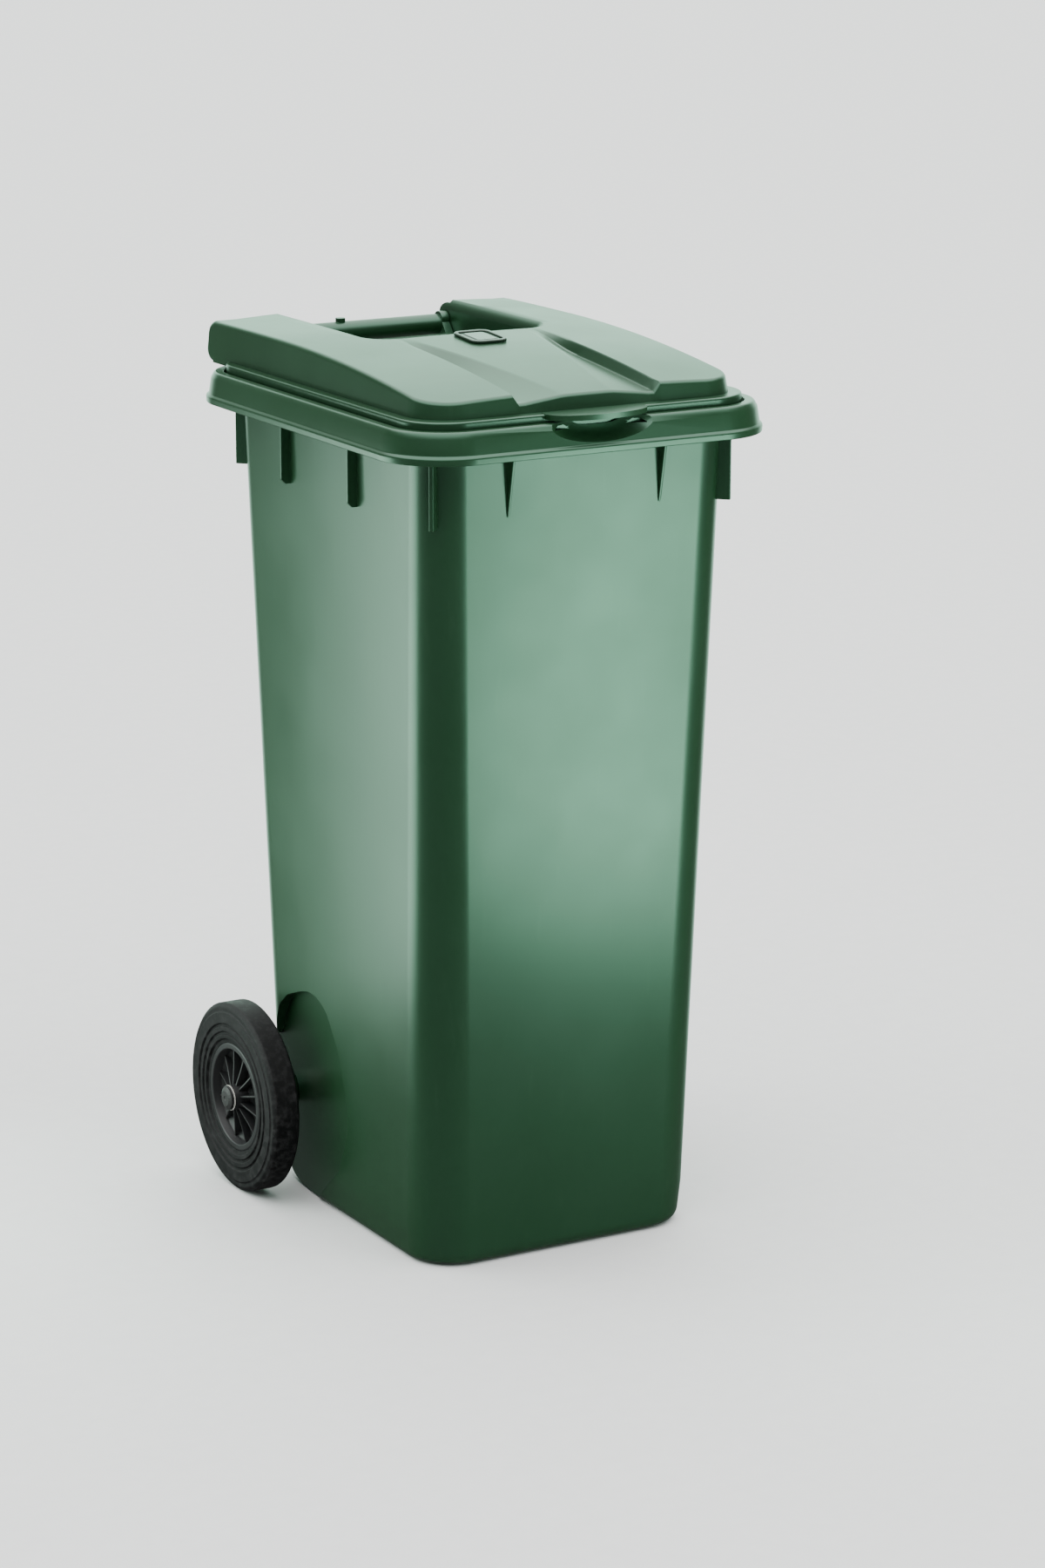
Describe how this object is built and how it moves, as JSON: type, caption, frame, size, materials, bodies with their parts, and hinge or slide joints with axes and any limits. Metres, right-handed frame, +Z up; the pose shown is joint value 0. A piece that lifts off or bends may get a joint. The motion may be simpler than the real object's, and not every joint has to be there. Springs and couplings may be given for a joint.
{
  "type": "wheelie bin",
  "caption": "Tapered plastic waste bin on two rubber-tyred wheels, with a hinged lid, a rear grab handle and a raised rim.",
  "frame": {"origin": "on the ground, under the middle of the whole bin", "axes": "+Z up, -Y towards the front (the side away from the wheels), X along the axle"},
  "size_m": [0.51, 0.591, 1.0442],
  "materials": {
    "green_plastic": "glossy moulded polyethylene, dark green",
    "tyre": "matt black solid rubber",
    "dark_grey_plastic": "satin dark grey",
    "natural_nylon": "natural off-white",
    "zinc_steel": "zinc plated",
    "badge_dark": "dark green satin",
    "badge_pale": "pale grey-green satin, blank",
    "black_plastic": "black satin"
  },
  "bodies": {
    "bin": {"bin_body": "green_plastic", "left_hinge_pin": "black_plastic", "right_hinge_pin": "black_plastic", "axle": "zinc_steel", "left_spacer": "natural_nylon", "left_washer": "zinc_steel", "left_axle_cap": "zinc_steel", "right_spacer": "natural_nylon", "right_washer": "zinc_steel", "right_axle_cap": "zinc_steel"},
    "lid": {"lid": "green_plastic", "badge_frame": "badge_dark", "badge_plate": "badge_pale"},
    "left_wheel": {"left_tyre": "tyre", "left_wheel_rim": "dark_grey_plastic", "left_inner_bush": "natural_nylon", "left_outer_bush": "natural_nylon"},
    "right_wheel": {"right_tyre": "tyre", "right_wheel_rim": "dark_grey_plastic", "right_inner_bush": "natural_nylon", "right_outer_bush": "natural_nylon"}
  },
  "joints": [
    {"name": "lid_hinge", "type": "hinge", "parent": "bin", "child": "lid", "pos_m": [0, 0.2785, 1.0155], "axis": [-1, 0, 0], "range_deg": [0, 225]},
    {"name": "left_wheel_spin", "type": "hinge", "parent": "bin", "child": "left_wheel", "pos_m": [-0.228, 0.1675, 0.115], "axis": [1, 0, 0], "continuous": true},
    {"name": "right_wheel_spin", "type": "hinge", "parent": "bin", "child": "right_wheel", "pos_m": [0.228, 0.1675, 0.115], "axis": [1, 0, 0], "continuous": true}
  ]
}
